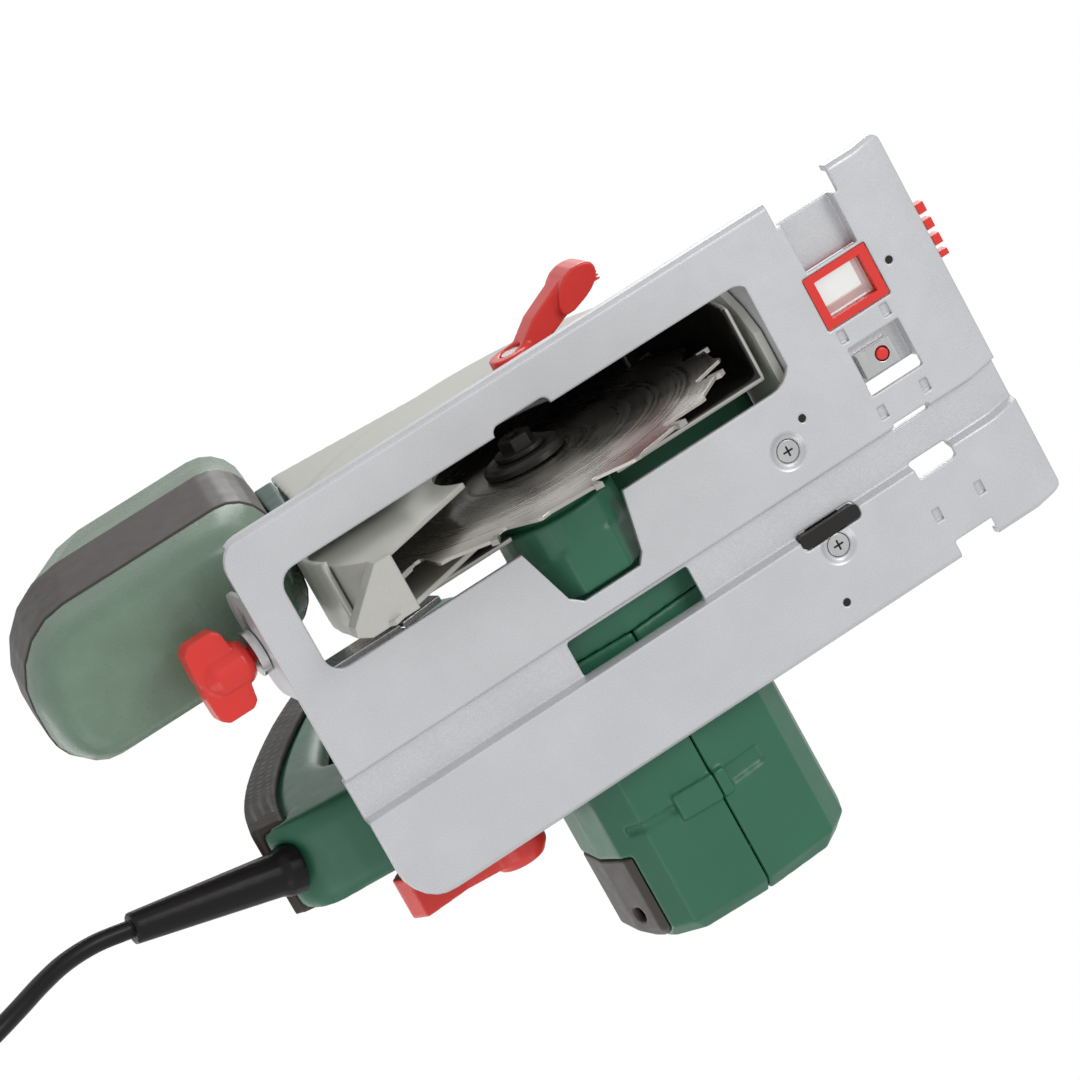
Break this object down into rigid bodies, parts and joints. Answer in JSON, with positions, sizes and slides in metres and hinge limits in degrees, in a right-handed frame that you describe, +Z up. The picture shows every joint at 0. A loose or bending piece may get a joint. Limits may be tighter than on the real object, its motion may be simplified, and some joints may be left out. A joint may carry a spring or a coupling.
{
  "type": "circular saw",
  "caption": "Hand-held circular saw: pressed sole that tilts and plunges, guarded blade with a swing-away lower guard, cross motor, loop handle and dust box.",
  "frame": {"origin": "middle of the sole's flat underside, on the face that slides on the work", "axes": "+X forward in the direction of cut, +Y to the motor side, +Z up from the sole"},
  "size_m": [0.5807, 0.2455, 0.2626],
  "materials": {
    "sole_silver": "satin silver powder coat with a fine metallic fleck",
    "cast_grey": "satin warm grey paint on cast light alloy",
    "green_plastic": "fine-grained moulded dark green plastic",
    "dark_green_plastic": "moulded very dark green plastic",
    "red_plastic": "satin moulded red plastic",
    "charcoal_plastic": "grained charcoal moulded plastic",
    "charcoal_rubber": "soft charcoal grip rubber with dimples",
    "black_plastic": "black moulded plastic",
    "blade_steel": "turned saw blade steel with circular marks",
    "machined_steel": "machined steel",
    "zinc_plate": "bright zinc plate",
    "dark_steel": "blackened steel",
    "copper": "copper windings and segments",
    "carbon": "pressed carbon",
    "smoked_plastic": "translucent grey-green plastic",
    "clear_plastic": "clear plastic",
    "cord_rubber": "black rubber"
  },
  "bodies": {
    "base": {"base_plate": "sole_silver", "sight_frame": "red_plastic", "sight_window": "clear_plastic", "fence_clamp_block": "zinc_plate", "sole_insert": "black_plastic", "sole_screw_right": "zinc_plate", "sole_screw_left": "zinc_plate"},
    "tilt_frame": {"front_tilt_bracket": "cast_grey", "rear_tilt_plate": "cast_grey", "depth_guide": "zinc_plate", "plunge_pivot_pin": "machined_steel"},
    "saw": {"gear_housing": "green_plastic", "motor_shell_front": "green_plastic", "motor_shell_rear": "green_plastic", "brush_cover": "charcoal_plastic", "handle_half_right": "green_plastic", "handle_half_left": "green_plastic", "soft_grip": "charcoal_rubber", "auxiliary_handle": "charcoal_plastic", "main_switch": "black_plastic", "cord_sleeve": "cord_rubber", "stator": "dark_steel", "brush_plate": "black_plastic", "bearing_cap": "black_plastic", "carbon_brush_front": "carbon", "carbon_brush_rear": "carbon", "front_armature_bearing": "machined_steel", "rear_armature_bearing": "machined_steel", "spindle_bearing": "machined_steel", "upper_guard": "cast_grey", "guard_spring": "machined_steel", "depth_clamp_collar": "red_plastic", "depth_clamp_bolt": "zinc_plate", "cord_lead": "cord_rubber", "cord_coil": "cord_rubber", "mains_plug": "cord_rubber"},
    "spindle": {"spindle": "machined_steel", "drive_gear": "machined_steel", "inner_flange": "dark_steel", "outer_flange": "dark_steel", "saw_blade": "blade_steel", "blade_bolt": "dark_steel"},
    "armature": {"armature": "copper", "commutator": "copper", "cooling_fan": "black_plastic"},
    "lower_guard": {"lower_guard": "cast_grey", "guard_lever": "red_plastic", "lever_screw": "zinc_plate"},
    "trigger": {"trigger": "red_plastic"},
    "lock_off_button": {"lock_off_button": "red_plastic"},
    "spindle_lock_button": {"spindle_lock_button": "red_plastic"},
    "depth_clamp_lever": {"depth_clamp_lever": "red_plastic"},
    "dust_box": {"dust_box_upper": "smoked_plastic", "dust_box_band": "charcoal_plastic", "dust_box_lower": "smoked_plastic", "dust_neck": "dark_green_plastic"},
    "front_wing_knob": {"front_wing_knob": "red_plastic"},
    "rear_wing_knob": {"rear_wing_knob": "red_plastic", "rear_washer": "zinc_plate"},
    "fence_clamp_bolt": {"fence_clamp_bolt": "red_plastic"}
  },
  "joints": [
    {"name": "bevel_tilt", "type": "hinge", "parent": "base", "child": "tilt_frame", "pos_m": [0, -0.04, 0], "axis": [1, 0, 0], "range_deg": [0, 45]},
    {"name": "depth_plunge", "type": "hinge", "parent": "tilt_frame", "child": "saw", "pos_m": [0.058, 0, 0.048], "axis": [0, 1, 0], "range_deg": [0, 37]},
    {"name": "spindle_spin", "type": "hinge", "parent": "saw", "child": "spindle", "pos_m": [-0.024, 0, 0.025], "axis": [0, 1, 0], "continuous": true},
    {"name": "armature_spin", "type": "hinge", "parent": "saw", "child": "armature", "pos_m": [-0.024, 0, 0.04813], "axis": [0, 1, 0], "continuous": true},
    {"name": "lower_guard_swing", "type": "hinge", "parent": "saw", "child": "lower_guard", "pos_m": [-0.024, 0, 0.025], "axis": [0, 1, 0], "range_deg": [-130, 0]},
    {"name": "trigger_squeeze", "type": "slide", "parent": "saw", "child": "trigger", "axis": [-0.889, 0, 0.458], "range_m": [0, 0.005], "stiffness_N_per_m": 1500, "springref_m": -0.003},
    {"name": "lock_off_press", "type": "slide", "parent": "saw", "child": "lock_off_button", "axis": [0, -1, 0], "range_m": [0, 0.004], "stiffness_N_per_m": 600, "springref_m": -0.002},
    {"name": "spindle_lock_press", "type": "slide", "parent": "saw", "child": "spindle_lock_button", "axis": [-1, 0, 0], "range_m": [0, 0.003], "stiffness_N_per_m": 800, "springref_m": -0.002},
    {"name": "depth_clamp_turn", "type": "hinge", "parent": "saw", "child": "depth_clamp_lever", "pos_m": [-0.093, 0, 0.045], "axis": [0, 1, 0], "range_deg": [0, 50]},
    {"name": "dust_box_pull", "type": "slide", "parent": "saw", "child": "dust_box", "axis": [-1, 0, 0], "range_m": [0, 0.06]},
    {"name": "front_knob_turn", "type": "hinge", "parent": "tilt_frame", "child": "front_wing_knob", "pos_m": [0.08, -0.02469, 0.03696], "axis": [1, 0, 0], "range_deg": [-90, 90]},
    {"name": "rear_knob_turn", "type": "hinge", "parent": "tilt_frame", "child": "rear_wing_knob", "pos_m": [-0.155, -0.0333, 0.01617], "axis": [1, 0, 0], "range_deg": [-90, 90]},
    {"name": "fence_bolt_turn", "type": "hinge", "parent": "base", "child": "fence_clamp_bolt", "pos_m": [0.106, -0.005, 0.01], "axis": [0, 0, 1], "range_deg": [-180, 180]}
  ],
  "couplings": [
    {"joint": "armature_spin", "follows": "spindle_spin", "ratio": -3.625}
  ]
}
